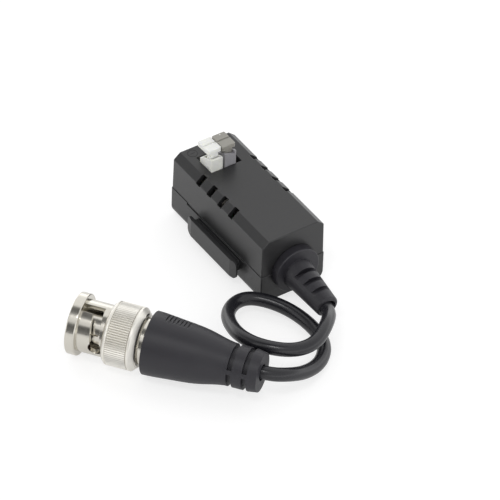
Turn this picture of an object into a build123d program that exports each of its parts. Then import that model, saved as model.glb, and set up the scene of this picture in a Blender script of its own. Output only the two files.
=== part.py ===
"""Video balun: a two-shell box with two push terminals on top, a joining rail on one side,
a matching slot on the other, and a short coaxial lead that ends in a bayonet plug.

Millimetres. X runs across the box, -Y is the cable end, +Y the wire entries, Z is up.
The origin is the centre of the box's underside.
"""

from build123d import *
import math
import os

os.makedirs("parts", exist_ok=True)

# Box
box_width = 17.0
box_length = 36.9
box_height = 17.6
parting = 7.8                # height of the joint between the shells
wall = 1.2
top_wall = 1.3
floor_wall = 1.3
set_back = 0.12              # the upper shell stands back from the lower one on every side
draft = 0.6                  # degrees, walls of the upper shell
bevel_across = 1.65
bevel_down = 1.45
inner_bevel = 0.75
bottom_round = 2.5
edge_round = 0.25
shell_clear = 0.1            # between the tongue and its recess
tongue_thick = 0.5
tongue_high = 0.7

# Shadow gap under the joint, on both long sides
gap_high = 0.55
gap_deep = 0.3
gap_front = -11.5
gap_rear = 12.0

# Vents across the two bevels
vent_count = 4
vent_pitch = 4.37
vent_middle = 1.5
vent_wide = 1.65
vent_over = 0.3              # how far a vent runs past the bevel onto the top
vent_under = 0.25            # and down onto the side

# Joining rail and slot
rail_front = -10.9
rail_rear = 8.9
rail_low = 2.5
rail_high = 7.35
rail_plate = 0.9
rail_neck = 1.3
rail_neck_low = 3.7
rail_neck_high = 6.3
rail_neck_in = 1.4           # the neck is this much shorter than the plate at each end
rail_round = 1.2
rail_bevel_in = 0.45
rail_bevel_long = 2.0
rail_clear = 0.12
block_side = 4.9             # inner face of the block that the slot is cut in
block_front = -12.3

# Circuit board
board_thick = 1.2
board_up = 0.2               # underside above the joint
board_front = -13.1
board_side_clear = 0.15
board_rear_clear = 0.45
board_block_edge = 0.9       # how far the board lies on the block
post_wide = 1.1
post_long = 2.0

# Terminals
pole_pitch = 3.6
first_pole_x = -2.95
tower_wide = 3.0
tower_front_in = 10.05       # from the rear face of the box to the front of the towers
tower_long = 4.7
tower_wall = 0.45
tower_front_wall = 0.6
tower_rear_wall = 0.4
tower_lip = 3.3              # front rim above the top of the box, first pole
tower_lip_second = 3.7
tower_lip_fall = 0.8         # how far the second pole's front rim slopes down
rim_rear_up = 1.15
block_clear = 0.2            # under the top wall and off the rear wall
chamber_floor = 1.5          # above the board
chamber_high = 4.3
chamber_rear_in = 2.55
nose_low = 0.8
nose_high = 5.8
nose_back = 0.2              # nose of the terminal inside the rear face
wire_bore = 0.9
wire_mouth = 0.35
window_clear = 0.1
window_rear_clear = 1.45     # behind the towers, where the levers dip in
window_right = 3.7

# Levers
pivot_in = 1.6               # behind the front of the tower
pivot_down = 0.2             # below the top of the box
drum = 0.75
trunnion = 0.5
trunnion_clear = 0.05
trunnion_in = 0.08
lever_side_clear = 0.1
head_wide = 3.45
head_long = 4.7
head_thick = 1.1
head_front = -0.9            # from the pivot
head_under = 4.5
head_round = 0.35
crease_at = 1.5
crease_wide = 0.45
crease_deep = 0.2
neck_front = -0.65
neck_rear = 1.2
foot_y = 2.2
foot_z = -2.5
foot_tip = 0.3
foot_wide = 1.3

# Clamps and contacts
strip_thick = 0.4
strip_wide = 1.7
strip_front_clear = 0.2
strip_rear_clear = 0.5
pin_size = 0.6
pin_in = 4.2                 # behind the front of the tower
pin_down = 1.2               # below the board
clamp_thick = 0.25
clamp_gap = 0.3              # between the lever's foot and the clamp at rest
clamp_down = 1.9             # top of the clamp below the top of the box
clamp_bend = 0.5
clamp_long = 5.8             # reach of the clamp behind the front of the tower
hole_clear = 0.25

# Cable and its boot on the box
cable_r = 1.6
cable_clear = 0.05
boot_tilt = 5.5              # degrees, the tapered part hangs down
boot_pivot = -13.5
flange_r = 5.75
flange_thick = 2.05
flange_round = 0.25
front_hole_r = 3.2
boot_neck_clear = 0.1
inner_flange_r = 4.2
inner_flange_thick = 1.0
inner_flange_clear = 0.15
taper_root_r = 3.8
taper_step_r = 3.55
taper_step_y = -22.3
taper_tip_r = 2.7
taper_tip_y = -32.6
taper_tip_round = 0.6
boot_slot_first = -23.4
boot_slot_pitch = 2.93
boot_slots = 3
boot_slot_wide = 1.12
boot_slot_floor = 2.1        # flat floor of a slot, from the axis
tail_r = 0.3
tail_over = 1.0              # the tails pass over the edge of the board
bell_out = 0.3               # widening of the bore at the mouth of a boot
bell_long = 1.8
cable_start = -27.3          # where the free tube begins, inside the boot

# Plug, measured along its axis from its mouth
plug_x = -51.2
plug_y = -8.2
plug_heading = -53.7         # degrees, from the mouth towards the boot
nut_ring_r = 7.3
nut_flange_r = 7.1
nut_flange = 2.3
nut_barrel_r = 6.0
nut_bore_r = 4.9
nut_ring_front = 8.5
nut_ring_bevel = 0.6
knurl_front = 9.6
knurl_rear = 14.4
knurl_deep = 0.3
knurl_count = 80
nut_end = 16.4
nut_shoulder = 1.3
nut_edge = 0.3
nut_chamber_front = 9.4
nut_chamber_rear = 13.5
nut_chamber_r = 6.2
run_clear = 0.08
slot_wide = 2.3
slot_window_end = 7.1
slot_up_angle = 84.0         # degrees above the horizontal, on the shown side
slot_turn = 90.0
slot_ramp = 1.0
detent_r = 1.7
ring_groove_front = 10.35
ring_thick = 0.5
ring_groove_deep = 0.35
contact_r = 4.05
contact_thick = 0.55
contact_front = 0.8
contact_splits = 4
contact_split_wide = 0.35
contact_split_long = 6.0
contact_seat = 1.5
gasket_thick = 0.8
gasket_r = 4.6
fit_clear = 0.03
spigot_r = 4.65
body_front = 10.5
body_flange_front = 11.0
body_flange_thick = 1.0
body_neck_r = 5.0
collar_r = 5.4
collar_gap = 0.25
collar_end = 17.9
body_tail_r = 4.6
body_tail = 1.6
crimp_tube_r = 2.6
crimp_tube_end = 26.5
core_hole_r = 1.0
washer_thick = 0.5
wave_thick = 0.3
insulator_r = 2.45
insulator_front = 7.0
insulator_end = 16.2
pin_r = 0.68
pin_front = 2.2
pin_end = 19.0
ferrule_thick = 0.6
ferrule_front = 20.0
ferrule_long = 8.0
grip_end = 26.2              # length of the plug's boot
grip_r = 7.3
grip_mid_r = 6.9
grip_waist_r = 6.1
grip_throat_r = 4.9
grip_slot_r = 4.85
grip_end_r = 4.55
grip_roll = 20.0             # degrees, spine above the horizontal on the shown side
grip_slot_at = (19.9, 23.4)
grip_slot_wide = 1.15
grip_slot_floor_r = 4.0
grip_spine = 1.1
grip_long = (5.6, 12.8, 18.6, 24.2)   # where the boot's outline changes
rib_count = 7
rib_first = 3.2
rib_pitch = 0.85
rib_wide = 0.35
rib_deep = 0.3
grip_hollow_clear = 0.1
cable_plug_end = 41.4        # where the free tube ends, inside the boot

# Values that follow from the sizes above
half_w = box_width / 2
half_l = box_length / 2
tower_front = half_l - tower_front_in
tower_rear = tower_front + tower_long
chamber_rear = half_l - chamber_rear_in
pivot_y = tower_front + pivot_in
pivot_z = box_height - pivot_down
pin_y = tower_front + pin_in
clamp_top = box_height - clamp_down
clamp_end = tower_front + clamp_long
upper_w = box_width - 2 * set_back
upper_l = box_length - 2 * set_back
upper_inner_w = upper_w - 2 * wall
upper_inner_l = upper_l - 2 * wall
lower_inner_w = box_width - 2 * wall
lower_inner_l = box_length - 2 * wall
lean = math.tan(math.radians(draft))
upper_high = box_height - parting
ceiling = box_height - top_wall
board_low = parting + board_up
board_top = board_low + board_thick
board_left = -(upper_inner_w / 2 - board_side_clear)
board_right = block_side + board_block_edge
board_rear = upper_inner_l / 2 - board_rear_clear
lip_thick = rail_neck - rail_clear
chamber_deep = rail_plate + 2 * rail_clear
rail_outer = half_w + rail_neck + rail_plate

poles = (
    ("minus", first_pole_x, 3.5, tower_lip, 0.0),
    ("plus", first_pole_x + pole_pitch, 0.0, tower_lip_second, tower_lip_fall),
)
pole_middle = first_pole_x + pole_pitch / 2
poles_half = (pole_pitch + tower_wide) / 2
window_left = pole_middle - poles_half - window_clear
window_front = tower_front - window_clear
window_rear = tower_rear + window_rear_clear
terminal_top = ceiling - block_clear
terminal_rear = upper_inner_l / 2 - lean * (terminal_top - parting) - block_clear
nose_rear = upper_l / 2 - lean * (board_top + nose_high - parting) - nose_back
chamber_low = board_top + chamber_floor
strip_top = chamber_low + strip_thick
wire_z = strip_top + wire_bore

# Upper shell
bevel_top_x = upper_w / 2 - lean * upper_high - bevel_across
bevel_len = math.hypot(bevel_across, bevel_down)

with BuildPart() as upper_shell:
    with BuildSketch(Plane.XY.offset(parting)):
        Rectangle(upper_w, upper_l)
    extrude(amount=upper_high, taper=draft)
    long_edges = upper_shell.edges().filter_by(Axis.Y).group_by(Axis.Z)[-1]
    chamfer(long_edges, bevel_across, bevel_down, reference=upper_shell.faces().sort_by(Axis.Z)[-1])
    fillet(upper_shell.edges().filter_by_position(Axis.Z, parting + 0.01, box_height + 0.01), edge_round)
    # Cavity, open below, with the same lean as the outside
    with BuildSketch(Plane.XY.offset(parting)):
        Rectangle(upper_inner_w, upper_inner_l)
    extrude(amount=ceiling - parting, taper=draft, mode=Mode.SUBTRACT)
    inner_edges = upper_shell.edges().filter_by(Axis.Y).filter_by_position(
        Axis.Z, ceiling - 0.01, ceiling + 0.01)
    chamfer(inner_edges, inner_bevel)
    # Ribs that hold the board down
    with BuildSketch(Plane.XY.offset(board_top + shell_clear)):
        with Locations((0, board_front + 1.5), (0, tower_front - 1.6)):
            Rectangle(upper_inner_w + wall, 0.8)
            Rectangle(2 * block_side - 0.6, 0.8, mode=Mode.SUBTRACT)
    extrude(until=Until.NEXT)
    # Recess for the tongue of the lower shell
    with BuildSketch(Plane.XY.offset(parting)):
        Rectangle(upper_inner_w + 2 * (tongue_thick + shell_clear), upper_inner_l + 2 * (tongue_thick + shell_clear))
    extrude(amount=tongue_high + shell_clear, mode=Mode.SUBTRACT)
    # Vents, cut square to the bevels and through into the cavity
    for side in (-1, 1):
        normal = Vector(side * bevel_down, 0, bevel_across).normalized()
        plane = Plane(origin=(side * bevel_top_x, vent_middle, box_height), x_dir=(0, side, 0), z_dir=normal)
        with BuildSketch(plane):
            with Locations((0, (vent_over - bevel_len - vent_under) / 2)):
                with GridLocations(vent_pitch, 0, vent_count, 1):
                    Rectangle(vent_wide, vent_over + bevel_len + vent_under)
        extrude(amount=2 * wall, both=True, mode=Mode.SUBTRACT)
    # Window that the terminals rise through
    with BuildSketch(Plane.XY.offset(ceiling - 1)):
        with Locations((window_left, window_front)):
            Rectangle(window_right - window_left, window_rear - window_front, align=(Align.MIN, Align.MIN))
    extrude(amount=top_wall + 2, mode=Mode.SUBTRACT)
    # Window for the wire entries, in the rear wall
    with BuildSketch(Plane.XZ.offset(-half_l)):
        with Locations((pole_middle, board_top + nose_low - window_clear)):
            Rectangle(
                2 * (poles_half + window_clear), nose_high - nose_low + 2 * window_clear,
                align=(Align.CENTER, Align.MIN))
    extrude(amount=2 * wall, mode=Mode.SUBTRACT)
    # Half of the round hole for the cable's boot
    with BuildSketch(Plane.XZ.offset(half_l)):
        with Locations((0, parting)):
            Circle(front_hole_r)
    extrude(amount=-(set_back + 2 * wall), mode=Mode.SUBTRACT)
upper_shell.part.label = "upper_shell"
export_step(upper_shell.part, "parts/upper_shell.step")

# Lower shell
plate_in = -(half_w + rail_neck)
with BuildPart() as lower_shell:
    with BuildSketch():
        Rectangle(box_width, box_length)
    extrude(amount=parting)
    fillet(lower_shell.edges().filter_by(Axis.Y).group_by(Axis.Z)[0], bottom_round)
    fillet(lower_shell.edges().filter_by_position(Axis.Z, -0.01, parting - 0.01), edge_round)
    # Cavity, leaving the block for the slot
    with BuildSketch(Plane.XY.offset(floor_wall)):
        Rectangle(lower_inner_w, lower_inner_l)
        with Locations((block_side, block_front)):
            Rectangle(half_w, box_length, align=(Align.MIN, Align.MIN), mode=Mode.SUBTRACT)
    extrude(amount=parting, mode=Mode.SUBTRACT)
    corner = lower_shell.edges().filter_by(Axis.Y).filter_by_position(
        Axis.Z, floor_wall - 0.01, floor_wall + 0.01).filter_by_position(
        Axis.X, -half_w, 0)
    fillet(corner, wall)
    # Tongue round the joint
    with BuildSketch(Plane.XY.offset(parting)):
        Rectangle(upper_inner_w + 2 * tongue_thick, upper_inner_l + 2 * tongue_thick)
        Rectangle(upper_inner_w, upper_inner_l, mode=Mode.SUBTRACT)
    extrude(amount=tongue_high)
    # Seat of the board on the block, and the rib beside the board's edge
    with BuildSketch(Plane.XY.offset(parting)):
        with Locations((block_side, block_front)):
            Rectangle(board_block_edge, lower_inner_l / 2 - block_front, align=(Align.MIN, Align.MIN))
    extrude(amount=board_up)
    with BuildSketch(Plane.XY.offset(parting)):
        with Locations((board_right + board_side_clear, block_front)):
            Rectangle(
                upper_inner_w / 2 - board_right - board_side_clear, upper_inner_l / 2 - block_front,
                align=(Align.MIN, Align.MIN))
    extrude(amount=tongue_high)
    # Posts under the board's other edge
    with BuildSketch(Plane.XY.offset(floor_wall)):
        with Locations((-lower_inner_w / 2, vent_middle)):
            with GridLocations(0, box_length / 3, 1, 3):
                Rectangle(post_wide, post_long, align=(Align.MIN, Align.CENTER))
    extrude(amount=board_low - floor_wall)
    # Shadow gaps
    with BuildSketch(Plane.XY.offset(parting - gap_high)):
        with Locations((-half_w, gap_front), (half_w - gap_deep, gap_front)):
            Rectangle(gap_deep, gap_rear - gap_front, align=(Align.MIN, Align.MIN))
    extrude(amount=gap_high, mode=Mode.SUBTRACT)
    # Rail: neck and plate, the plate with rounded lower corners and bevelled ends
    with BuildSketch(Plane.XY.offset(rail_neck_low)):
        with Locations((plate_in, rail_front + rail_neck_in)):
            Rectangle(
                rail_neck + gap_deep, rail_rear - rail_front - 2 * rail_neck_in, align=(Align.MIN, Align.MIN))
    extrude(amount=rail_neck_high - rail_neck_low)
    with BuildSketch(Plane.YZ.offset(plate_in)) as plate_outline:
        with Locations((rail_front, rail_low)):
            Rectangle(rail_rear - rail_front, rail_high - rail_low, align=(Align.MIN, Align.MIN))
        fillet(plate_outline.vertices().group_by(Axis.Z)[0], rail_round)
    extrude(amount=-rail_plate)
    with BuildSketch(Plane.XY.offset(rail_low)):
        for end, inward in ((rail_front, 1), (rail_rear, -1)):
            with BuildLine():
                Polyline(
                    (-rail_outer, end), (-rail_outer + rail_bevel_in, end), (-rail_outer, end + inward * rail_bevel_long),
                    close=True)
            make_face()
    extrude(amount=rail_high - rail_low, mode=Mode.SUBTRACT)
    # Slot: the opening and the wider chamber behind it, closed in front and open at the rear
    with BuildSketch(Plane.XZ.offset(-half_l)):
        with Locations((half_w, rail_neck_low - rail_clear)):
            Rectangle(
                2 * lip_thick, rail_neck_high - rail_neck_low + 2 * rail_clear, align=(Align.CENTER, Align.MIN))
        with Locations((half_w - lip_thick, rail_low - rail_clear)):
            Rectangle(chamber_deep, rail_high - rail_low + 2 * rail_clear, align=(Align.MAX, Align.MIN))
    extrude(amount=half_l - rail_front + rail_clear, mode=Mode.SUBTRACT)
    # Other half of the round hole
    with BuildSketch(Plane.XZ.offset(half_l)):
        with Locations((0, parting)):
            Circle(front_hole_r)
    extrude(amount=-(set_back + 2 * wall), mode=Mode.SUBTRACT)
lower_shell.part.label = "lower_shell"
export_step(lower_shell.part, "parts/lower_shell.step")


def seen_from_pivot(y, z, angle):
    """A point given from the pivot, after the lever's rear has gone down by an angle."""
    c = math.cos(math.radians(angle))
    s = math.sin(math.radians(angle))
    return pivot_y + y * c + z * s, pivot_z - y * s + z * c


# Terminals, one of each piece for each pole
for pole, pole_x, rest, lip, lip_fall in poles:
    side_plane = Plane.YZ.offset(pole_x)
    left = pole_x - tower_wide / 2
    inner_half = tower_wide / 2 - tower_wall
    lip_z = box_height + lip

    with BuildPart() as terminal_body:
        with BuildSketch(side_plane):
            with BuildLine():
                Polyline(
                    (tower_front, board_top), (tower_front, lip_z), (tower_front + tower_front_wall, lip_z),
                    (tower_rear, box_height + rim_rear_up),
                    (tower_rear, terminal_top), (terminal_rear, terminal_top), (terminal_rear, board_top),
                    close=True)
            make_face()
        extrude(amount=tower_wide / 2, both=True)
        # Nose that shows in the rear window
        with BuildSketch(Plane.XZ.offset(-nose_rear)):
            with Locations((pole_x, board_top + nose_low)):
                Rectangle(tower_wide, nose_high - nose_low, align=(Align.CENTER, Align.MIN))
        extrude(amount=nose_rear - chamber_rear)
        # Open cup for the lever, and the chamber behind and below it
        with BuildSketch(side_plane):
            with Locations((tower_front + tower_front_wall, chamber_low)):
                Rectangle(
                    tower_rear - tower_rear_wall - tower_front - tower_front_wall, lip_z,
                    align=(Align.MIN, Align.MIN))
                Rectangle(
                    chamber_rear - tower_front - tower_front_wall, chamber_high, align=(Align.MIN, Align.MIN))
        extrude(amount=inner_half, both=True, mode=Mode.SUBTRACT)
        if lip_fall > 0:
            with BuildSketch(Plane.XZ.offset(-tower_front)):
                with BuildLine():
                    Polyline(
                        (left - 0.01, lip_z), (pole_x + inner_half, lip_z + 0.01),
                        (pole_x + inner_half, lip_z - lip_fall), close=True)
                make_face()
            extrude(amount=-tower_front_wall, mode=Mode.SUBTRACT)
        # Bearings of the lever
        with BuildSketch(side_plane):
            with Locations((pivot_y, pivot_z)):
                Circle(trunnion + trunnion_clear)
        extrude(amount=tower_wide, both=True, mode=Mode.SUBTRACT)
        # Wire entry with its countersunk mouth, and the hole for the contact's pin
        with BuildSketch(Plane.XZ.offset(-nose_rear)):
            with Locations((pole_x, wire_z)):
                Circle(wire_bore)
        extrude(amount=nose_rear - chamber_rear + 0.1, mode=Mode.SUBTRACT)
        mouth = terminal_body.edges().filter_by(GeomType.CIRCLE).filter_by_position(
            Axis.Y, nose_rear - 0.01, nose_rear + 0.01)
        chamfer(mouth, wire_mouth)
        with Locations(Plane(origin=(pole_x, pin_y, board_top))):
            Box(
                pin_size + 2 * shell_clear, pin_size + 2 * shell_clear, chamber_floor,
                align=(Align.CENTER, Align.CENTER, Align.MIN), mode=Mode.SUBTRACT)
    terminal_body.part.label = f"terminal_body_{pole}"
    export_step(terminal_body.part, f"parts/terminal_body_{pole}.step")

    # Lever, drawn from its pivot in a plane that turns with it
    turn = math.radians(rest)
    lever_side = Plane(
        origin=(pole_x, pivot_y, pivot_z), x_dir=(0, math.cos(turn), -math.sin(turn)), z_dir=(1, 0, 0))
    up = lever_side.y_dir
    neck_half = inner_half - lever_side_clear
    with BuildPart() as lever:
        with BuildSketch(Plane(origin=lever_side.origin + up * head_under, x_dir=(1, 0, 0), z_dir=up)):
            with Locations((0, head_front + head_long / 2)):
                RectangleRounded(head_wide, head_long, head_round)
        extrude(amount=head_thick)
        fillet(lever.faces().sort_by(Axis.Z)[-1].edges(), edge_round / 2)
        with BuildSketch(lever_side):
            with Locations((crease_at, head_under + head_thick)):
                Rectangle(crease_wide, 2 * crease_deep)
        extrude(amount=head_wide, both=True, mode=Mode.SUBTRACT)
        with BuildSketch(lever_side):
            with BuildLine():
                Polyline(
                    (neck_front, head_under), (neck_rear, head_under), (drum, 0), (-drum, 0), close=True)
            make_face()
            Circle(drum)
        extrude(amount=neck_half, both=True)
        with BuildSketch(lever_side):
            with BuildLine():
                Polyline(
                    (-drum / 2, -drum / 2), (drum, 0), (foot_y + foot_tip, foot_z),
                    (foot_y - foot_tip, foot_z - foot_tip / 2), close=True)
            make_face()
            with Locations((foot_y, foot_z)):
                Circle(foot_tip)
        extrude(amount=foot_wide / 2, both=True)
        with BuildSketch(lever_side):
            Circle(trunnion)
        extrude(amount=tower_wide / 2 - trunnion_in, both=True)
    lever.part.label = f"lever_{pole}"
    export_step(lever.part, f"parts/lever_{pole}.step")

    # Contact: a strip on the chamber's floor with a pin through the board
    strip_front = tower_front + tower_front_wall + strip_front_clear
    with BuildPart() as contact:
        with BuildSketch(Plane.XY.offset(chamber_low)):
            with Locations((pole_x, strip_front)):
                Rectangle(
                    strip_wide, chamber_rear - strip_rear_clear - strip_front, align=(Align.CENTER, Align.MIN))
        extrude(amount=strip_thick)
        with BuildSketch(Plane.XY.offset(chamber_low)):
            with Locations((pole_x, pin_y)):
                Rectangle(pin_size, pin_size)
        extrude(amount=-(chamber_low - board_low + pin_down))
    contact.part.label = f"contact_{pole}"
    export_step(contact.part, f"parts/contact_{pole}.step")

    # Spring clamp: stands on the strip, bends over and runs down to grip the wire
    tip_y, tip_z = seen_from_pivot(foot_y, foot_z, rest)
    clamp_front = strip_front + clamp_thick
    below = (foot_tip + clamp_gap + clamp_thick / 2) / math.cos(math.radians(33))
    clamp_slope = (tip_z - below - clamp_top) / (tip_y - clamp_front)
    with BuildPart() as clamp:
        with BuildSketch(side_plane):
            with BuildLine():
                FilletPolyline(
                    (clamp_front, strip_top), (clamp_front, clamp_top),
                    (clamp_end, clamp_top + clamp_slope * (clamp_end - clamp_front)), radius=clamp_bend)
            trace(line_width=clamp_thick)
        extrude(amount=strip_wide / 2, both=True)
    clamp.part.label = f"clamp_{pole}"
    export_step(clamp.part, f"parts/clamp_{pole}.step")

# Circuit board and what stands on it
ring_x = -0.9
ring_y = -2.6
ring_outer = 3.75
ring_inner = 1.8
ring_high = 3.2
winding = 0.35
winding_gap = 0.03
winding_turn = 110.0
tube_r = 2.0
tube_long = 6.0
tube_x = -1.6
tube_y = 4.6
lead_out = 0.9
lead_r = 0.3
core_x = 1.6
shield_x = -1.6
tail_hole_y = -11.6

tube_leads = [(tube_x - tube_long / 2 - lead_out, tube_y), (tube_x + tube_long / 2 + lead_out, tube_y)]
tail_holes = [(core_x, tail_hole_y), (shield_x, tail_hole_y)]
pin_holes = [(pole_x, pin_y) for _, pole_x, _, _, _ in poles]

with BuildPart() as circuit_board:
    with BuildSketch(Plane.XY.offset(board_low)):
        with Locations((board_left, board_front)):
            Rectangle(board_right - board_left, board_rear - board_front, align=(Align.MIN, Align.MIN))
        with Locations(*tube_leads, *tail_holes):
            Circle(lead_r + hole_clear, mode=Mode.SUBTRACT)
        with Locations(*pin_holes):
            Circle(pin_size / 2 * math.sqrt(2) + hole_clear, mode=Mode.SUBTRACT)
    extrude(amount=board_thick)
circuit_board.part.label = "circuit_board"
export_step(circuit_board.part, "parts/circuit_board.step")

ring_low = board_top + winding
with BuildPart() as transformer_core:
    with BuildSketch(Plane.XY.offset(ring_low)):
        with Locations((ring_x, ring_y)):
            Circle(ring_outer)
            Circle(ring_inner, mode=Mode.SUBTRACT)
    extrude(amount=ring_high)
transformer_core.part.label = "transformer_core"
export_step(transformer_core.part, "parts/transformer_core.step")

for number, start in ((1, 35.0), (2, 215.0)):
    heading = math.radians(start)
    across = Plane(
        origin=(ring_x, ring_y, ring_low), x_dir=(math.cos(heading), math.sin(heading), 0),
        z_dir=(math.sin(heading), -math.cos(heading), 0))
    with BuildPart() as transformer_winding:
        with BuildSketch(across):
            with Locations(((ring_outer + ring_inner) / 2, ring_high / 2)):
                Rectangle(ring_outer - ring_inner + 2 * winding, ring_high + 2 * winding)
                Rectangle(
                    ring_outer - ring_inner + 2 * winding_gap, ring_high + 2 * winding_gap, mode=Mode.SUBTRACT)
        revolve(axis=Axis((ring_x, ring_y, 0), (0, 0, 1)), revolution_arc=winding_turn)
    transformer_winding.part.label = f"transformer_winding_{number}"
    export_step(transformer_winding.part, f"parts/transformer_winding_{number}.step")

tube_z = board_top + tube_r
with BuildPart() as surge_tube:
    with BuildSketch(Plane.YZ.offset(tube_x)):
        with Locations((tube_y, tube_z)):
            Circle(tube_r)
    extrude(amount=tube_long / 2, both=True)
    with BuildSketch(Plane.YZ.offset(tube_x)):
        with Locations((tube_y, tube_z)):
            Circle(lead_r)
    extrude(amount=tube_long / 2 + lead_out + lead_r, both=True)
    with BuildSketch(Plane.XY.offset(board_low - pin_down)):
        with Locations(*tube_leads):
            Circle(lead_r)
    extrude(amount=tube_z - board_low + pin_down)
surge_tube.part.label = "surge_tube"
export_step(surge_tube.part, "parts/surge_tube.step")

chips = (
    ("capacitor_1", -4.6, -9.2, 3.2, 1.6, 1.4), ("capacitor_2", 3.4, -9.2, 3.2, 1.6, 1.4),
    ("resistor_1", -0.8, -9.2, 2.0, 1.25, 0.6), ("resistor_2", 4.2, -4.4, 1.25, 2.0, 0.6),
)
for name, chip_x, chip_y, chip_w, chip_l, chip_h in chips:
    with BuildPart(Plane(origin=(chip_x, chip_y, board_top))) as chip:
        Box(chip_w, chip_l, chip_h, align=(Align.CENTER, Align.CENTER, Align.MIN))
        fillet(chip.edges().filter_by(Axis.Z), 0.1)
    chip.part.label = name
    export_step(chip.part, f"parts/{name}.step")

# Boot of the cable on the box: it grips the front wall and tapers down along a tilted axis
tilt = math.radians(boot_tilt)
boot_side = Plane(
    origin=(0, boot_pivot, parting), x_dir=(0, -math.cos(tilt), -math.sin(tilt)), z_dir=(-1, 0, 0))
boot_axis = Axis(boot_side.origin, boot_side.x_dir)


def along_boot(y):
    """Distance along the boot's tilted axis for a place along the box."""
    return (boot_pivot - y) / math.cos(tilt)


outer_face = -half_l
flange_front = outer_face - flange_thick
inner_face = -(upper_inner_l / 2) + inner_flange_clear
tip = along_boot(taper_tip_y)
step = along_boot(taper_step_y)
with BuildPart() as cable_boot:
    # Flange outside, neck through the wall, flange inside
    with BuildSketch(Plane.YZ):
        with BuildLine():
            Polyline(
                (flange_front, parting), (flange_front, parting + flange_r), (outer_face, parting + flange_r),
                (outer_face, parting + front_hole_r - boot_neck_clear),
                (inner_face, parting + front_hole_r - boot_neck_clear), (inner_face, parting + inner_flange_r),
                (inner_face + inner_flange_thick, parting + inner_flange_r),
                (inner_face + inner_flange_thick, parting), close=True)
        make_face()
    revolve(axis=Axis((0, 0, parting), (0, 1, 0)))
    rim = cable_boot.edges().filter_by(GeomType.CIRCLE).filter_by_position(
        Axis.Y, flange_front - 0.01, flange_front + 0.01)
    fillet(rim, flange_round)
    # Tapered part
    with BuildSketch(boot_side):
        with BuildLine():
            Polyline(
                (along_boot(outer_face) + 0.5, 0), (along_boot(outer_face) + 0.5, taper_root_r),
                (along_boot(flange_front), taper_root_r), (step, taper_step_r), (tip, taper_tip_r), (tip, 0),
                close=True)
        make_face()
    revolve(axis=boot_axis)
    end_rim = cable_boot.edges().filter_by(GeomType.CIRCLE).sort_by(Axis.Y)[0]
    fillet(end_rim, taper_tip_round)
    # Slots from above and below, which leave a spine on each side
    with BuildSketch(boot_side):
        for number in range(boot_slots):
            at = along_boot(boot_slot_first - number * boot_slot_pitch)
            with Locations((at, boot_slot_floor)):
                Rectangle(boot_slot_wide, taper_root_r, align=(Align.CENTER, Align.MIN))
            with Locations((at, -boot_slot_floor)):
                Rectangle(boot_slot_wide, taper_root_r, align=(Align.CENTER, Align.MAX))
    extrude(amount=taper_root_r, both=True, mode=Mode.SUBTRACT)
    # Bore for the cable
    with BuildSketch(Plane(origin=boot_side.origin, x_dir=(1, 0, 0), z_dir=boot_side.x_dir)):
        Circle(cable_r + cable_clear)
    extrude(amount=tip + 1, mode=Mode.SUBTRACT)
    with BuildSketch(boot_side):
        with BuildLine():
            Polyline(
                (tip, 0), (tip, cable_r + cable_clear + bell_out), (tip - bell_long, cable_r + cable_clear),
                (tip - bell_long, 0), close=True)
        make_face()
    revolve(axis=boot_axis, mode=Mode.SUBTRACT)
cable_boot.part.label = "cable_boot"
export_step(cable_boot.part, "parts/cable_boot.step")

# The cable's end inside the box: jacket, core and twisted braid
jacket_start = 0.7
with BuildPart() as cable_inner_end:
    with BuildSketch(Plane(origin=boot_side.from_local_coords((jacket_start, 0, 0)), z_dir=boot_side.x_dir)):
        Circle(cable_r)
    extrude(amount=along_boot(cable_start) - jacket_start)
cable_inner_end.part.label = "cable_inner_end"
export_step(cable_inner_end.part, "parts/cable_inner_end.step")

for name, tail_x in (("core_tail", core_x), ("shield_tail", shield_x)):
    leaving = boot_side.from_local_coords((jacket_start, 0, 0))
    rise_y = board_front - tail_r - hole_clear
    with BuildPart() as tail:
        with BuildLine() as tail_line:
            FilletPolyline(
                (tail_x * 0.4, leaving.Y, leaving.Z), (tail_x * 0.4, rise_y, leaving.Z),
                (tail_x * 0.6, rise_y, board_top + tail_over), (tail_x, tail_hole_y, board_top + tail_over),
                (tail_x, tail_hole_y, board_low - pin_down), radius=tail_r)
        with BuildSketch(Plane(origin=tail_line.line @ 0, z_dir=tail_line.line % 0)):
            Circle(tail_r)
        sweep()
    tail.part.label = name
    export_step(tail.part, f"parts/{name}.step")

# Plug: everything on it is turned about one axis
heading = math.radians(plug_heading)
plug_dir = Vector(math.cos(heading), math.sin(heading), 0)
plug_side = Plane(origin=(plug_x, plug_y, nut_ring_r), x_dir=plug_dir, z_dir=(plug_dir.Y, -plug_dir.X, 0))
plug_axis = Axis(plug_side.origin, plug_dir)


def along_plug(distance, height=0.0):
    """Origin of a plane at a distance from the plug's mouth."""
    return plug_side.from_local_coords((distance, height, 0))


def around_plug(distance, elevation):
    """Plane at a distance along the plug, facing outwards at an elevation on the shown side."""
    angle = math.radians(elevation)
    outward = plug_side.z_dir * math.cos(angle) + Vector(0, 0, 1) * math.sin(angle)
    return Plane(origin=along_plug(distance), x_dir=plug_dir, z_dir=outward)


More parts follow.
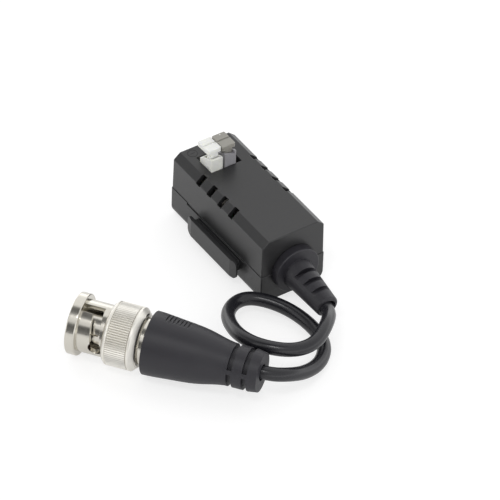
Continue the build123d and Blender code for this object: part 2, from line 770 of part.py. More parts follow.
bore_rear_r = body_neck_r + run_clear
with BuildPart() as coupling_nut:
    with BuildSketch(plug_side):
        with BuildLine():
            Polyline(
                (0, nut_bore_r), (0, nut_flange_r), (nut_flange, nut_flange_r), (nut_flange, nut_barrel_r),
                (nut_ring_front, nut_barrel_r), (nut_ring_front, nut_ring_r - nut_ring_bevel),
                (nut_ring_front + nut_ring_bevel, nut_ring_r), (knurl_front - knurl_deep, nut_ring_r),
                (knurl_front, nut_ring_r - knurl_deep), (knurl_rear, nut_ring_r - knurl_deep),
                (knurl_rear + knurl_deep, nut_ring_r), (nut_end - nut_shoulder, nut_ring_r),
                (nut_end, nut_ring_r - nut_shoulder), (nut_end, bore_rear_r), (nut_chamber_rear, bore_rear_r),
                (nut_chamber_rear, nut_chamber_r), (ring_groove_front + ring_thick + fit_clear, nut_chamber_r),
                (ring_groove_front + ring_thick + fit_clear, nut_chamber_r + ring_groove_deep),
                (ring_groove_front, nut_chamber_r + ring_groove_deep), (ring_groove_front, nut_chamber_r),
                (nut_chamber_front, nut_chamber_r), (nut_chamber_front, nut_bore_r), close=True)
        make_face()
    revolve(axis=plug_axis)
    flange_rims = coupling_nut.edges().filter_by(GeomType.CIRCLE).filter_by(
        lambda e: abs(e.radius - nut_flange_r) < 0.01)
    fillet(flange_rims, nut_edge)
    # Fine straight knurl
    with BuildSketch(Plane(origin=along_plug(knurl_front), z_dir=plug_dir)):
        Circle(nut_ring_r)
        Circle(nut_ring_r - 2 * knurl_deep, mode=Mode.SUBTRACT)
        with PolarLocations(nut_ring_r, knurl_count):
            Rectangle(2 * knurl_deep * 0.7, 2 * knurl_deep * 0.7, rotation=45, mode=Mode.SUBTRACT)
    extrude(amount=knurl_rear - knurl_front)
    # Two bayonet slots: way in under the flange, window, ramp round the barrel, detent hole
    for opposite in (0, 180):
        up_angle = slot_up_angle + opposite
        with BuildSketch(around_plug(0, up_angle)):
            Rectangle(2 * slot_window_end, slot_wide)
        extrude(amount=nut_barrel_r + 0.1, mode=Mode.SUBTRACT)
        ramp_start = slot_window_end - slot_wide / 2
        steps = 6
        sections = []
        for number in range(steps + 1):
            share = number / steps
            section_at = around_plug(ramp_start + slot_ramp * share, up_angle - slot_turn * share)
            outward = section_at.z_dir
            sections.append(Plane(
                origin=section_at.origin + outward * (nut_bore_r - 0.6), x_dir=plug_dir,
                z_dir=outward.cross(plug_dir)))
        for before, after in zip(sections, sections[1:]):
            with BuildSketch(before):
                Rectangle(slot_wide, nut_barrel_r - nut_bore_r + 1.5, align=(Align.CENTER, Align.MAX))
            with BuildSketch(after):
                Rectangle(slot_wide, nut_barrel_r - nut_bore_r + 1.5, align=(Align.CENTER, Align.MAX))
            loft(mode=Mode.SUBTRACT)
        with BuildSketch(around_plug(ramp_start + slot_ramp, up_angle - slot_turn)):
            Circle(detent_r)
        extrude(amount=nut_ring_r - nut_ring_bevel, mode=Mode.SUBTRACT)
coupling_nut.part.label = "coupling_nut"
export_step(coupling_nut.part, "parts/coupling_nut.step")

ring_outer_r = nut_chamber_r + ring_groove_deep - fit_clear
turned = (
    ("retaining_ring", (
        (ring_groove_front + fit_clear / 2, body_neck_r), (ring_groove_front + fit_clear / 2, ring_outer_r),
        (ring_groove_front + ring_thick, ring_outer_r), (ring_groove_front + ring_thick, body_neck_r))),
    ("thrust_washer", (
        (nut_chamber_rear - washer_thick, bore_rear_r), (nut_chamber_rear - washer_thick, nut_chamber_r - run_clear),
        (nut_chamber_rear, nut_chamber_r - run_clear), (nut_chamber_rear, bore_rear_r))),
    ("gasket", (
        (body_front - gasket_thick, contact_r + fit_clear), (body_front - gasket_thick, gasket_r),
        (body_front, gasket_r), (body_front, contact_r + fit_clear))),
    ("insulator", (
        (insulator_front, pin_r + fit_clear), (insulator_front, insulator_r),
        (body_front, insulator_r), (body_front, contact_r - contact_thick - fit_clear),
        (insulator_end, contact_r - contact_thick - fit_clear), (insulator_end, pin_r + fit_clear))),
    ("centre_pin", (
        (pin_front, 0), (pin_front + pin_r, pin_r), (pin_end, pin_r), (pin_end, 0))),
    ("crimp_ferrule", (
        (ferrule_front, crimp_tube_r + fit_clear), (ferrule_front, crimp_tube_r + ferrule_thick),
        (ferrule_front + ferrule_long, crimp_tube_r + ferrule_thick),
        (ferrule_front + ferrule_long, crimp_tube_r + fit_clear))),
)
for name, points in turned:
    with BuildPart() as ring:
        with BuildSketch(plug_side):
            with BuildLine():
                Polyline(*points, close=True)
            make_face()
        revolve(axis=plug_axis)
    ring.part.label = name
    export_step(ring.part, f"parts/{name}.step")

# Wave washer: three shallow waves, drawn as the flat ring that it is when it is pressed
with BuildPart() as wave_washer:
    with BuildSketch(Plane(origin=along_plug(body_flange_front + body_flange_thick), z_dir=plug_dir)):
        Circle(nut_chamber_r - 2 * run_clear)
        Circle(body_neck_r + run_clear, mode=Mode.SUBTRACT)
    extrude(amount=wave_thick)
wave_washer.part.label = "wave_washer"
export_step(wave_washer.part, "parts/wave_washer.step")

# Outer contact: a split sleeve whose foot is pressed into the body
contact_end = body_front + contact_seat
with BuildPart() as outer_contact:
    with BuildSketch(Plane(origin=along_plug(contact_front), z_dir=plug_dir)):
        Circle(contact_r)
        Circle(contact_r - contact_thick, mode=Mode.SUBTRACT)
    extrude(amount=contact_end - contact_front)
    for number in range(contact_splits):
        with BuildSketch(around_plug(contact_front, grip_roll + number * 360 / contact_splits)):
            Rectangle(2 * contact_split_long, contact_split_wide)
        extrude(amount=contact_r + 0.1, mode=Mode.SUBTRACT)
outer_contact.part.label = "outer_contact"
export_step(outer_contact.part, "parts/outer_contact.step")

# Body of the plug: spigot, flange inside the nut, neck, collar, tail and crimp tube
body_bore = contact_r - contact_thick
flange_end = body_flange_front + body_flange_thick
with BuildPart() as plug_body:
    with BuildSketch(plug_side):
        with BuildLine():
            Polyline(
                (body_front, contact_r + fit_clear), (body_front, spigot_r), (body_flange_front, spigot_r),
                (body_flange_front, nut_chamber_r - run_clear), (flange_end, nut_chamber_r - run_clear),
                (flange_end, body_neck_r), (nut_end + collar_gap, body_neck_r),
                (nut_end + collar_gap, collar_r), (collar_end, collar_r), (collar_end, body_tail_r),
                (collar_end + body_tail, body_tail_r), (collar_end + body_tail, crimp_tube_r),
                (crimp_tube_end, crimp_tube_r), (crimp_tube_end, core_hole_r), (insulator_end, core_hole_r),
                (insulator_end, body_bore), (contact_end + fit_clear, body_bore),
                (contact_end + fit_clear, contact_r + fit_clear), close=True)
        make_face()
    revolve(axis=plug_axis)
plug_body.part.label = "plug_body"
export_step(plug_body.part, "parts/plug_body.step")

# Boot of the plug
hollow_r = crimp_tube_r + ferrule_thick + grip_hollow_clear
hollow_end = ferrule_front + ferrule_long + grip_hollow_clear - collar_end
with BuildPart() as plug_boot:
    grip_side = Plane(origin=along_plug(collar_end), x_dir=plug_dir, z_dir=plug_side.z_dir)
    tail_hollow_r = body_tail_r + fit_clear
    with BuildSketch(grip_side):
        with BuildLine() as outline:
            Line((0, tail_hollow_r), (0, grip_r))
            Spline(
                (0, grip_r), (grip_long[0], grip_mid_r), (grip_long[1], grip_waist_r), (grip_long[2], grip_throat_r),
                tangents=((1, -0.02), (1, -0.12)))
            Line((grip_long[2], grip_throat_r), (grip_long[3], grip_slot_r))
            Line((grip_long[3], grip_slot_r), (grip_end, grip_end_r))
            Line((grip_end, grip_end_r), (grip_end, cable_r + cable_clear + bell_out))
            Line((grip_end, cable_r + cable_clear + bell_out), (grip_end - bell_long, cable_r + cable_clear))
            Line((grip_end - bell_long, cable_r + cable_clear), (hollow_end, cable_r + cable_clear))
            Line((hollow_end, cable_r + cable_clear), (hollow_end, hollow_r))
            Line((hollow_end, hollow_r), (body_tail + fit_clear, hollow_r))
            Line((body_tail + fit_clear, hollow_r), (body_tail + fit_clear, tail_hollow_r))
            Line((body_tail + fit_clear, tail_hollow_r), (0, tail_hollow_r))
        make_face()
    revolve(axis=plug_axis)
    # Grooves round the thin end, broken by a spine on each side
    for at in grip_slot_at:
        with BuildSketch(Plane(origin=along_plug(collar_end + at - grip_slot_wide / 2), x_dir=around_plug(0, grip_roll).z_dir, z_dir=plug_dir)):
            Circle(grip_r)
            Circle(grip_slot_floor_r, mode=Mode.SUBTRACT)
            Rectangle(2 * grip_r, grip_spine, mode=Mode.SUBTRACT)
        extrude(amount=grip_slot_wide, mode=Mode.SUBTRACT)
    # Fine grip ribs nearer the collar, on the two sides off the spines
    for elevation in (grip_roll + 90, grip_roll - 90):
        spine_side = Plane(origin=along_plug(collar_end), x_dir=plug_dir, z_dir=around_plug(0, elevation).z_dir)
        for number in range(rib_count):
            at = rib_first + number * rib_pitch
            surface = grip_r + (grip_mid_r - grip_r) * at / grip_long[0]
            with BuildSketch(spine_side.offset(surface - rib_deep)):
                with Locations((at, 0)):
                    Rectangle(rib_wide, 2 * grip_r)
            extrude(amount=grip_r, mode=Mode.SUBTRACT)
plug_boot.part.label = "plug_boot"
export_step(plug_boot.part, "parts/plug_boot.step")

# The cable's end inside the plug's boot
with BuildPart() as cable_plug_tail:
    with BuildSketch(Plane(origin=along_plug(crimp_tube_end), z_dir=plug_dir)):
        Circle(cable_r)
    extrude(amount=cable_plug_end - crimp_tube_end)
cable_plug_tail.part.label = "cable_plug_tail"
export_step(cable_plug_tail.part, "parts/cable_plug_tail.step")

# Free cable: one loop between the two boots, lying on the table where it comes down
route = [
    boot_side.from_local_coords((along_boot(cable_start), 0, 0)),
    boot_side.from_local_coords((along_boot(-34.1), 0, 0)),
    Vector(-3.8, -39.7, 8.5),
    Vector(-9.8, -42.4, 9.0),
    Vector(-16.2, -42.0, 8.8),
    Vector(-21.2, -37.8, 8.1),
    Vector(-22.8, -31.6, 6.6),
    Vector(-21.7, -25.7, 5.0),
    Vector(-19.2, -20.9, 3.7),
    Vector(-15.4, -18.0, 3.0),
    Vector(-11.5, -18.4, 3.0),
    Vector(-8.4, -22.0, 2.7),
    Vector(-5.3, -27.1, 2.1),
    Vector(-3.4, -33.0, 1.7),
    Vector(-4.5, -39.0, 1.7),
    Vector(-8.9, -43.2, 2.0),
    Vector(-14.6, -45.8, 3.7),
    Vector(-20.1, -46.6, 6.3),
    along_plug(45.6),
    along_plug(cable_plug_end),
]
radii = []
for before, here, after in zip(route, route[1:], route[2:]):
    arriving = here - before
    leaving = after - here
    half_turn = math.radians(arriving.get_angle(leaving)) / 2
    radii.append(0.45 * min(arriving.length, leaving.length) / math.tan(half_turn))
with BuildPart() as cable:
    with BuildLine() as cable_line:
        FilletPolyline(*route, radius=radii)
    with BuildSketch(Plane(origin=cable_line.line @ 0, z_dir=cable_line.line % 0)):
        Circle(cable_r)
    sweep()
cable.part.label = "cable"
export_step(cable.part, "parts/cable.step")

path_length = sum(edge.length for edge in cable_line.edges())
print("cable: corner radii", [round(r, 1) for r in radii])
print("cable: length", round(path_length, 2), "volume", round(cable.part.volume, 1),
      "section x length", round(math.pi * cable_r ** 2 * path_length, 1))
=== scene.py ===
"""Video balun with two push terminals and a short lead that ends in a bayonet plug."""

import bpy
import bmesh
from math import radians, cos, sin, tan, pi
from mathutils import Matrix, Vector


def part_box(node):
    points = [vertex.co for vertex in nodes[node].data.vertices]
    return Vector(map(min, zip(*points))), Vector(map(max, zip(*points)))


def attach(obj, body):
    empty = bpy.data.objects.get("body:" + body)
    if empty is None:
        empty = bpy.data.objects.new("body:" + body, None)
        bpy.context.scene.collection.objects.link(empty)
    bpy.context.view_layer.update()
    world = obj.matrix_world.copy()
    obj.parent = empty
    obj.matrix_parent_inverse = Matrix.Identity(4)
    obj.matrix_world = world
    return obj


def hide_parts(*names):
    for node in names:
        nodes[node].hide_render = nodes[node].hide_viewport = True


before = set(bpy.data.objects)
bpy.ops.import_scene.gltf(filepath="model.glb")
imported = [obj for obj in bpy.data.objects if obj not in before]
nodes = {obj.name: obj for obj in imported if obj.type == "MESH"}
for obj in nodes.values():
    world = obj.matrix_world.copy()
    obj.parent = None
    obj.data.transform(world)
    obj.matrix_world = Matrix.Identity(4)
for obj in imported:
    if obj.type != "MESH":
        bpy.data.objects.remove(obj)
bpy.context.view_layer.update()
mm = 0.001

# Camera: it stands well back and looks down on the box's rail side and cable end, so that
# the edges of the box run almost parallel, as through a long lens.
lens, film, farthest = 380.16, 36.0, 10.0
heading_deg, fall_deg, roll_deg = -35.0, 41.6, 2.061
aim_high = 1.8 * mm
aside, above, back_off = 0.766 * mm, -2.475 * mm, 1200 * mm
camera_data = bpy.data.cameras.new("camera")
camera_data.lens = lens
camera_data.sensor_width = film
camera_data.clip_end = farthest
camera = bpy.data.objects.new("camera", camera_data)
bpy.context.scene.collection.objects.link(camera)
turned = (
    Matrix.Rotation(radians(heading_deg), 4, "Z")
    @ Matrix.Rotation(radians(90 - fall_deg), 4, "X")
    @ Matrix.Rotation(radians(roll_deg), 4, "Z"))
raised = Matrix.Translation((0, 0, aim_high))
camera.matrix_world = raised @ turned @ Matrix.Translation((aside, above, back_off))
bpy.context.scene.camera = camera


# Circuit board: green lacquered glass fibre, with a ferrite ring in two enamelled windings, a ceramic
# surge tube and four chip parts. The inner conductor and the braid of the cable are soldered to it.
class Grain:
    """A value in a material's nodes; maths on it adds the Math nodes."""

    def __init__(self, tree, socket=None):
        self.tree = tree
        self.socket = socket

    def node(self, kind, settings=None, values=None, output=0):
        """A new node: its type, its settings, and the values or links of its sockets."""
        made = self.tree.nodes.new(kind)
        for name, value in (settings or {}).items():
            setattr(made, name, value)
        for name, value in (values or {}).items():
            if isinstance(value, Grain):
                self.tree.links.new(value.socket, made.inputs[name])
            else:
                made.inputs[name].default_value = value
        return Grain(self.tree, made.outputs[output])

    def maths(self, operation, first, second=0.0):
        return self.node("ShaderNodeMath", {"operation": operation}, {0: first, 1: second})

    def __add__(self, other):
        return self.maths("ADD", self, other)

    def __sub__(self, other):
        return self.maths("SUBTRACT", self, other)

    def __rsub__(self, other):
        return self.maths("SUBTRACT", other, self)

    def __mul__(self, other):
        return self.maths("MULTIPLY", self, other)

    def __abs__(self):
        return self.maths("ABSOLUTE", self)

    __radd__ = __add__
    __rmul__ = __mul__

    def vector(self, operation, other=(0, 0, 0), output=0):
        """Vector maths on a vector."""
        return self.node("ShaderNodeVectorMath", {"operation": operation}, {0: self, 1: other}, output)

    def reach(self, direction):
        """How far a vector reaches along a direction."""
        return self.vector("DOT_PRODUCT", direction, "Value")

    def below(self, edge, soft):
        """1 where the value is under the edge, 0 above it, with a soft step between."""
        return self.node("ShaderNodeMapRange", {"interpolation_type": "SMOOTHSTEP"}, {
            "Value": self, "From Min": edge - soft, "From Max": edge + soft,
            "To Min": 1.0, "To Max": 0.0})

    def colour(self, low, high):
        """The colour between two, one at 0 and one at 1."""
        return self.node("ShaderNodeMix", {"data_type": "RGBA"}, {"Factor": self, "A": low, "B": high}, 2)

    def noise(self, scale, detail=3.0, rough=0.5):
        """Fractal noise on a place."""
        return self.node("ShaderNodeTexNoise", values={
            "Vector": self, "Scale": scale, "Detail": detail, "Roughness": rough})

    def bump(self, strength, distance, normal=None):
        """The value as relief on the skin."""
        values = {"Height": self, "Strength": strength, "Distance": distance}
        if normal is not None:
            values["Normal"] = normal
        return self.node("ShaderNodeBump", values=values)

    def sibling(self, name):
        """Another output of the node that this value comes from."""
        return Grain(self.tree, self.socket.node.outputs[name])

    def feeds(self, socket):
        self.tree.links.new(self.socket, socket)


def new_finish(name):
    """An empty material: its tree as a Grain, its Principled shader, and the place on the piece."""
    material = bpy.data.materials.new(name)
    material.use_nodes = True
    tree = material.node_tree
    start = Grain(tree)
    return material, start, tree.nodes["Principled BSDF"], start.node("ShaderNodeTexCoord", output="Object")


def dress(material, *names):
    """Gives CAD nodes a material in place of the plain one."""
    for name in names:
        data = nodes[name].data
        data.materials.clear()
        data.materials.append(material)


def softened(start, radius):
    """A normal that rounds the edges of a piece."""
    return start.node("ShaderNodeBevel", {"samples": 4}, {"Radius": radius})


def plain_mould(name, light, dark, roughness, speckles):
    """A moulded, fired or lacquered skin with a fine speckle."""
    speckle_high = 0.03 * mm
    material, start, shader, place = new_finish(name)
    speckle = place.noise(speckles, 4.0)
    speckle.colour(dark, light).feeds(shader.inputs["Base Color"])
    (speckle * 0.2 + roughness).feeds(shader.inputs["Roughness"])
    speckle.bump(0.2, speckle_high).feeds(shader.inputs["Normal"])
    return material


def metal(name, light, dark, roughness, spread):
    """A bare or plated metal with haze and fine rubbing."""
    edge_r, rub_high = 0.12 * mm, 0.02 * mm
    material, start, shader, place = new_finish(name)
    haze = place.noise(260.0, 5.0)
    rub = place.noise(2500.0, 2.0)
    haze.colour(dark, light).feeds(shader.inputs["Base Color"])
    (haze * spread + rub * 0.05 + roughness).feeds(shader.inputs["Roughness"])
    shader.inputs["Metallic"].default_value = 1.0
    rub.bump(0.08, rub_high, softened(start, edge_r)).feeds(shader.inputs["Normal"])
    return material


for name, light, dark, roughness, speckles, pieces in (
        ("board_lacquer", (0.03, 0.20, 0.09, 1), (0.02, 0.14, 0.06, 1), 0.25, 900.0, ["circuit_board"]),
        ("ferrite", (0.06, 0.06, 0.065, 1), (0.03, 0.03, 0.033, 1), 0.5, 2500.0, ["transformer_core"]),
        ("surge_ceramic", (0.80, 0.77, 0.70, 1), (0.70, 0.67, 0.60, 1), 0.35, 800.0, ["surge_tube"]),
        ("chip_tan", (0.45, 0.30, 0.17, 1), (0.36, 0.23, 0.12, 1), 0.4, 1500.0,
         ["capacitor_1", "capacitor_2"]),
        ("chip_black", (0.04, 0.04, 0.04, 1), (0.02, 0.02, 0.02, 1), 0.4, 1500.0,
         ["resistor_1", "resistor_2"])):
    dress(plain_mould(name, light, dark, roughness, speckles), *pieces)
enamelled_wire = metal("enamelled_wire", (0.60, 0.22, 0.07, 1), (0.45, 0.14, 0.04, 1), 0.25, 0.1)
dress(enamelled_wire, "transformer_winding_1", "transformer_winding_2")
bare_copper = metal("bare_copper", (0.85, 0.46, 0.28, 1), (0.72, 0.36, 0.20, 1), 0.25, 0.2)
dress(bare_copper, "core_tail")
tinned_copper = metal("tinned_copper", (0.74, 0.73, 0.70, 1), (0.60, 0.59, 0.57, 1), 0.3, 0.2)
dress(tinned_copper, "shield_tail")


# Terminals: the towers and levers are moulded in natural white nylon for the minus pole and in grey
# nylon for the plus pole. A lever pushed down opens the spring steel clamp over a tinned contact bar.
def edge_wear_and_highlight(start, edge):
    """How near a rounded edge a point is, from 0 on a flat to 1 at the edge; it makes edges rougher and
    places painted edge highlights.
    """
    flat = start.node("ShaderNodeNewGeometry", output="True Normal")
    return start.maths("MINIMUM", (1 - edge.reach(flat)) * 6.0, 1.0)


def nylon(name, light, dark, roughness, through, gate_x=None):
    """Milky nylon with flow lines, and on a lever a pale spot at the snapped-off gate, painted in as a
    glint, a painted highlight.
    """
    edge_r, flow_high = 0.12 * mm, 0.04 * mm
    gate_y, gate_z, gate_r, gate_soft = 13.3 * mm, 22.8 * mm, 0.27 * mm, 0.06 * mm
    # Pale colour of the spot at the gate: a painted glint.
    gate_glint_white = (0.86, 0.86, 0.84, 1)
    along_flow = (1.0, 0.25, 1.0)
    material, start, shader, place = new_finish(name)
    milk = place.noise(350.0)
    flow = place.node("ShaderNodeMapping", values={"Vector": place, "Scale": along_flow}).noise(1500.0, 4.0)
    edge = softened(start, edge_r)
    tint = (milk * 0.7 + flow * 0.3).colour(dark, light)
    if gate_x is not None:
        from_gate = place.vector("DISTANCE", (gate_x, gate_y, gate_z), "Value")
        # A pale spot is painted at the gate mark: a painted highlight on the lever's head.
        tint = (from_gate.below(gate_r, gate_soft) * 0.7).colour(tint, gate_glint_white)
    tint.feeds(shader.inputs["Base Color"])
    (milk * 0.12 + flow * 0.06 + edge_wear_and_highlight(start, edge) * 0.08 + roughness).feeds(shader.inputs["Roughness"])
    flow.bump(0.2, flow_high, edge).feeds(shader.inputs["Normal"])
    shader.inputs["Subsurface Weight"].default_value = through
    shader.inputs["Subsurface Radius"].default_value = (1.2 * mm, 1.2 * mm, 1.0 * mm)
    shader.inputs["Subsurface Scale"].default_value = 1.0
    return material


minus_gate_x, plus_gate_x = -3.1 * mm, 0.85 * mm
for name, light, dark, roughness, through, gate_x, piece in (
        ("white_nylon", (0.86, 0.865, 0.84, 1), (0.78, 0.79, 0.75, 1), 0.30, 0.5, minus_gate_x,
         "lever_minus"),
        ("white_nylon_tower", (0.84, 0.84, 0.79, 1), (0.76, 0.765, 0.71, 1), 0.35, 0.4, None,
         "terminal_body_minus"),
        ("grey_nylon", (0.325, 0.315, 0.285, 1), (0.28, 0.27, 0.24, 1), 0.35, 0.1, plus_gate_x,
         "lever_plus"),
        ("grey_nylon_tower", (0.33, 0.325, 0.345, 1), (0.28, 0.275, 0.29, 1), 0.4, 0.1, None,
         "terminal_body_plus")):
    dress(nylon(name, light, dark, roughness, through, gate_x), piece)
spring_steel = metal("spring_steel", (0.62, 0.63, 0.65, 1), (0.50, 0.51, 0.53, 1), 0.22, 0.15)
dress(spring_steel, "clamp_minus", "clamp_plus")
dress(tinned_copper, "contact_minus", "contact_plus")

# Shells of the box: two halves of black ABS, moulded in spark-eroded tools, so that every outer
# face has a fine even grain. They snap together at the joint and close round the board.
shell_edge_r, grit_high = 0.14 * mm, 0.02 * mm
shell_dark, shell_light = (0.017, 0.017, 0.018, 1), (0.030, 0.030, 0.031, 1)
# Paler colour for a painted highlight along the shell's rounded edges.
shell_edge_highlight = (0.085, 0.085, 0.088, 1)
shell, start, shader, place = new_finish("black_abs_shell")
grit = place.noise(5200.0, 3.0, 0.6)
cloud = place.noise(75.0, 4.0)
dust = place.noise(900.0, 5.0, 0.65)
edge = softened(start, shell_edge_r)
tint = (cloud * 0.6 + dust * 0.4).colour(shell_dark, shell_light)
# The rounded edges are lightened in the base colour: a painted highlight.
(edge_wear_and_highlight(start, edge) * 0.75).colour(tint, shell_edge_highlight).feeds(shader.inputs["Base Color"])
(grit * 0.1 + dust * 0.06 + 0.28).feeds(shader.inputs["Roughness"])
grit.bump(0.4, grit_high, edge).feeds(shader.inputs["Normal"])
dress(shell, "upper_shell", "lower_shell")

# Polarity mark: a ring with a bar, sparked a little rougher and darker into the cover's mould beside
# the minus terminal. It is laid on here as one thin low skin.
cover_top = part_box("upper_shell")[1][2] / mm
mark_middle = Vector((-4.4, 16.3, cover_top))
mark_r, mark_line, mark_high = 1.15, 0.15, 0.02
mark_crown, mark_steps = 0.6, 64
bar_half, bar_inset = 0.6, 0.06
corners = ((-1, -1), (1, -1), (1, 1), (-1, 1))
mark_mesh = bmesh.new()


def mark_point(x, y, high):
    """A corner of the mark, measured from its middle on the cover."""
    return mark_mesh.verts.new((mark_middle + Vector((x, y, high))) * mm)


def mark_rim(rim_r, high):
    """A ring of corners round the mark's middle."""
    turns = [2 * pi * step / mark_steps for step in range(mark_steps)]
    return [mark_point(rim_r * cos(turn), rim_r * sin(turn), high) for turn in turns]


rims = [
    mark_rim(mark_r - mark_line, 0.0), mark_rim(mark_r - mark_line * mark_crown, mark_high),
    mark_rim(mark_r + mark_line * mark_crown, mark_high), mark_rim(mark_r + mark_line, 0.0)]
for inner, outer in zip(rims, rims[1:] + rims[:1]):
    for step in range(mark_steps):
        after = (step + 1) % mark_steps
        mark_mesh.faces.new((inner[step], outer[step], outer[after], inner[after]))
low = [mark_point(x * bar_half, y * mark_line, 0.0) for x, y in corners]
high = [mark_point(x * (bar_half - bar_inset), y * (mark_line - bar_inset), mark_high) for x, y in corners]
mark_mesh.faces.new(high)
mark_mesh.faces.new(reversed(low))
for side in range(len(corners)):
    after = (side + 1) % len(corners)
    mark_mesh.faces.new((low[side], low[after], high[after], high[side]))
bmesh.ops.recalc_face_normals(mark_mesh, faces=mark_mesh.faces)
mark_data = bpy.data.meshes.new("polarity_mark")
mark_mesh.to_mesh(mark_data)
mark_mesh.free()
polarity_mark = bpy.data.objects.new("polarity_mark", mark_data)
bpy.context.scene.collection.objects.link(polarity_mark)

pit_high = 0.02 * mm
sparked, start, shader, place = new_finish("sparked_mark")
pits = place.noise(6000.0, 3.0)
pits.colour((0.009, 0.009, 0.010, 1), (0.018, 0.018, 0.019, 1)).feeds(shader.inputs["Base Color"])
(pits * 0.1 + 0.55).feeds(shader.inputs["Roughness"])
pits.bump(0.4, pit_high).feeds(shader.inputs["Normal"])
mark_data.materials.append(sparked)
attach(polarity_mark, "balun")

# Free cable: 3.2 mm black PVC coaxial lead, about 110 mm long, moulded into the boot of the box
# and crimped in the plug. It springs back into one loose loop and rests on the table.
cable_r, cable_long = 1.6 * mm, 0.109
box_boot_pivot = Vector((0, -13.5, 7.8))
box_boot_fall = tan(radians(5.5))
plug_mouth = Vector((-51.2, -8.2, 7.3))
plug_turn = radians(-53.7)
plug_dir = Vector((cos(plug_turn), sin(plug_turn), 0))


def in_boot(y):
    """A point on the axis of the box's boot."""
    return Vector((0, y, box_boot_pivot.z - (box_boot_pivot.y - y) * box_boot_fall))


cable_route = [
    in_boot(-27.3), in_boot(-33.4), Vector((-4.5, -38.9, 8.3)), Vector((-10.6, -43.3, 8.5)),
    Vector((-16.6, -43.0, 8.9)), Vector((-21.8, -37.9, 9.0)), Vector((-23.1, -31.8, 7.9)),
    Vector((-21.7, -25.7, 6.1)), Vector((-19.2, -20.9, 4.5)), Vector((-15.3, -18.0, 3.6)),
    Vector((-11.7, -18.3, 3.6)), Vector((-8.2, -21.7, 3.4)), Vector((-5.2, -26.7, 2.7)),
    Vector((-3.7, -33.0, 1.8)), Vector((-4.8, -39.0, 1.7)), Vector((-9.0, -43.3, 2.0)),
    Vector((-14.6, -45.6, 3.6)), Vector((-20.1, -46.5, 6.3)), plug_mouth + plug_dir * 45.6,
    plug_mouth + plug_dir * 41.4,
]
cable_curve = bpy.data.curves.new("free_cable", "CURVE")
cable_curve.dimensions = "3D"
cable_curve.bevel_depth = cable_r
cable_curve.bevel_resolution = 8
cable_curve.resolution_u = 12
cable_curve.use_fill_caps = True
line = cable_curve.splines.new("NURBS")
line.points.add(len(cable_route) - 1)
for point, place in zip(line.points, cable_route):
    point.co = (*(place * mm), 1.0)
line.order_u = 3
line.use_endpoint_u = True
free_cable = bpy.data.objects.new("free_cable", cable_curve)
bpy.context.scene.collection.objects.link(free_cable)

skin_high = 0.03 * mm
jacket, start, shader, place = new_finish("black_pvc_jacket")
smear = place.noise(130.0)
wipe = place.noise(620.0, 4.0)
smear.colour((0.008, 0.008, 0.011, 1), (0.018, 0.018, 0.022, 1)).feeds(shader.inputs["Base Color"])
(smear * 0.08 + wipe * 0.04 + 0.2).feeds(shader.inputs["Roughness"])
place.noise(1100.0, 4.0).bump(0.05, skin_high).feeds(shader.inputs["Normal"])
cable_curve.materials.append(jacket)
dress(jacket, "cable_inner_end", "cable_plug_tail")
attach(free_cable, "balun")
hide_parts("cable")

# Boots: soft black PVC with a fine grain and some dust. One is moulded over the cable and held in
# the box's end wall, the other is pushed over the crimp of the plug.
boot_edge_r, pore_high = 0.15 * mm, 0.03 * mm
boot_dark, boot_light = (0.0118, 0.0112, 0.0148, 1), (0.0228, 0.0215, 0.0282, 1)
# Paler colour for a painted highlight along the boots' rounded edges.
boot_edge_highlight = (0.06, 0.059, 0.065, 1)
soft, start, shader, place = new_finish("black_soft_pvc")
pores = place.noise(2600.0)
dust = place.noise(170.0, 5.0)
scuff = place.noise(700.0, 6.0, 0.7)
edge = softened(start, boot_edge_r)
tint = (dust * 0.6 + scuff * 0.4).colour(boot_dark, boot_light)
# The rounded edges are lightened in the base colour: a painted highlight.
(edge_wear_and_highlight(start, edge) * 0.4).colour(tint, boot_edge_highlight).feeds(shader.inputs["Base Color"])
(dust * 0.12 + scuff * 0.12 + 0.36).feeds(shader.inputs["Roughness"])
pores.bump(0.6, pore_high, edge).feeds(shader.inputs["Normal"])
dress(soft, "cable_boot", "plug_boot")

# Plug: brass, turned on a lathe and plated with bright nickel, with milled slots in the nut. The
# gripped ring of the nut is a little duller than the rest, and the knurl's grooves are darkened brown with
# painted shade.
ring_middle, ring_half, ring_soft = 12.6 * mm, 3.9 * mm, 0.3 * mm
knurl_middle, knurl_half, knurl_soft = 12.0 * mm, 2.5 * mm, 0.05 * mm
barrel_r, barrel_soft = 6.3 * mm, 0.1 * mm
groove_r, groove_soft = 7.1 * mm, 0.06 * mm
plate_edge_r, rub_high = 0.1 * mm, 0.02 * mm
plate_dark, plate_light = (0.60, 0.575, 0.52, 1), (0.70, 0.675, 0.61, 1)
# Brown colour for the painted shade in the knurl's grooves.
ring_pale, groove_shade_brown = (0.90, 0.88, 0.825, 1), (0.30, 0.27, 0.22, 1)
nickel, start, shader, place = new_finish("bright_nickel")
axis_moment = plug_mouth.cross(plug_dir) * mm
from_axis = place.vector("CROSS_PRODUCT", plug_dir).vector("SUBTRACT", axis_moment).vector(
    "LENGTH", output="Value")
depth = place.reach(plug_dir) - plug_mouth.dot(plug_dir) * mm
on_ring = abs(depth - ring_middle).below(ring_half, ring_soft)
gripped = on_ring * (1 - from_axis.below(barrel_r, barrel_soft))
on_knurl = abs(depth - knurl_middle).below(knurl_half, knurl_soft)
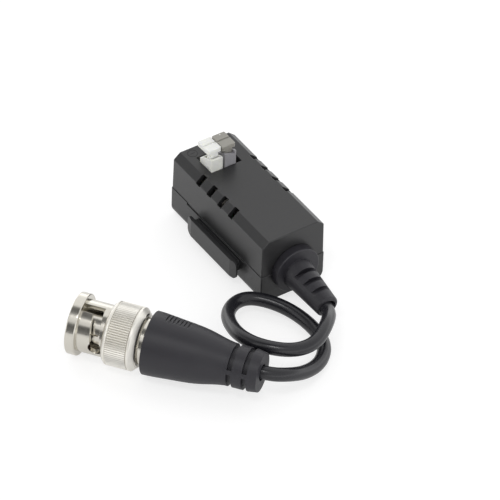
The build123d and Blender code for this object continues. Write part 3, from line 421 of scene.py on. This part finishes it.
# Painted shade: the knurl's grooves, inside the groove radius on the gripped ring, are darkened.
painted_groove_shade = from_axis.below(groove_r, groove_soft) * on_knurl * gripped
haze = place.noise(260.0, 5.0)
rub = place.noise(2500.0, 2.0)
plate = haze.colour(plate_dark, plate_light)
satin = (gripped * 0.9).colour(plate, ring_pale)
(painted_groove_shade * 0.5).colour(satin, groove_shade_brown).feeds(shader.inputs["Base Color"])
(haze * 0.14 + rub * 0.05 + gripped * 0.26 + 0.1).feeds(shader.inputs["Roughness"])
shader.inputs["Metallic"].default_value = 1.0
rub.bump(0.08, rub_high, softened(start, plate_edge_r)).feeds(shader.inputs["Normal"])
dress(nickel, "coupling_nut", "plug_body", "outer_contact", "thrust_washer", "crimp_ferrule")
dress(spring_steel, "retaining_ring", "wave_washer")

# Contact of the plug: a gold-plated pin in a turned PTFE insulator, with a red rubber ring at the
# foot of the outer contact to seal the joint.
dress(metal("gold_plate", (0.90, 0.68, 0.30, 1), (0.82, 0.60, 0.24, 1), 0.15, 0.1), "centre_pin")
dress(plain_mould("ptfe", (0.88, 0.88, 0.86, 1), (0.80, 0.80, 0.78, 1), 0.4, 500.0), "insulator")
dress(plain_mould("seal_rubber", (0.25, 0.05, 0.03, 1), (0.18, 0.03, 0.02, 1), 0.5, 900.0), "gasket")

# Table: a plain pale board under the object, which the camera and the metal see as white. It keeps
# the object's soft shadow.
half = 4.0
board_grey, board_rough = (0.85, 0.85, 0.85, 1), 0.9
glow_strength, glow_to_camera, glow_to_metal = 1.28, 0.55, 0.30
table_mesh = bpy.data.meshes.new("table")
table_mesh.from_pydata(
    [(-half, -half, 0), (half, -half, 0), (half, half, 0), (-half, half, 0)], [], [(0, 1, 2, 3)])
table = bpy.data.objects.new("table", table_mesh)
bpy.context.scene.collection.objects.link(table)
table_top, start, shader, place = new_finish("table_top")
shader.inputs["Base Color"].default_value = board_grey
shader.inputs["Roughness"].default_value = board_rough
shader.inputs["Specular IOR Level"].default_value = 0.0
ray = start.node("ShaderNodeLightPath")
reflected = start.maths("MAXIMUM", ray.sibling("Is Glossy Ray"), ray.sibling("Is Transmission Ray"))
seen = ray.sibling("Is Camera Ray") * glow_to_camera + reflected * glow_to_metal
board = Grain(start.tree, shader.outputs[0])
glow = start.node("ShaderNodeEmission", values={"Color": (1, 1, 1, 1), "Strength": glow_strength})
start.node("ShaderNodeMixShader", values={0: seen, 1: board, 2: glow}).feeds(
    start.tree.nodes["Material Output"].inputs["Surface"])
table_mesh.materials.append(table_top)

# Studio: a white tent, lighter behind the object, at the left and along the horizon, with a dim
# opening low at the front left, one behind left and one overhead.
world = bpy.data.worlds.new("studio")
bpy.context.scene.world = world
world.use_nodes = True
air = Grain(world.node_tree)
heading = air.node("ShaderNodeTexCoord", output="Generated")


def around(direction, edge, soft):
    """1 on the part of the tent round a direction, 0 elsewhere."""
    return 1 - heading.reach(direction).below(edge, soft)


overhead = around((-0.22, 0.13, 0.97), 0.955, 0.02)
low_front_left = around((-0.89, -0.36, 0.27), 0.925, 0.03)
behind_left = around((-0.61, 0.62, 0.5), 0.88, 0.08)
behind = around((0.43, 0.61, 0.66), 0.75, 0.25)
left = around((-0.8, 0.58, 0.05), 0.7, 0.2)
horizon = heading.reach((0, 0, 1)).below(0.3, 0.12)
dark = air.maths("MINIMUM", overhead * 0.85 + low_front_left * 0.9 + behind_left * 0.72, 0.92)
light = (0.86 + behind * 0.24 + horizon * 0.75 + left * 1.2) * (1 - dark)
ray = air.node("ShaderNodeLightPath")
cloth = air.node("ShaderNodeBackground", values={"Color": (1, 1, 1, 1), "Strength": light})
white = air.node("ShaderNodeBackground", values={"Color": (1, 1, 1, 1), "Strength": 1.0})
air.node("ShaderNodeMixShader", values={0: ray.sibling("Is Camera Ray"), 1: cloth, 2: white}).feeds(
    world.node_tree.nodes["World Output"].inputs["Surface"])

# Lamp: one soft lamp, high at the front left, that faces the object. It gives the edges and the
# cable their highlights and the object its soft shadow.
lamp_wide, lamp_deep, lamp_watts = 0.3, 0.16, 1.6
stand = Vector((-0.46, -0.27, 1.04))
lamp = bpy.data.lights.new("soft_lamp", "AREA")
lamp.shape = "RECTANGLE"
lamp.size = lamp_wide
lamp.size_y = lamp_deep
lamp.energy = lamp_watts
holder = bpy.data.objects.new("soft_lamp", lamp)
bpy.context.scene.collection.objects.link(holder)
holder.matrix_world = Matrix.Translation(stand) @ stand.to_track_quat("Z", "Y").to_matrix().to_4x4()

bpy.context.scene.view_settings.view_transform = "Standard"
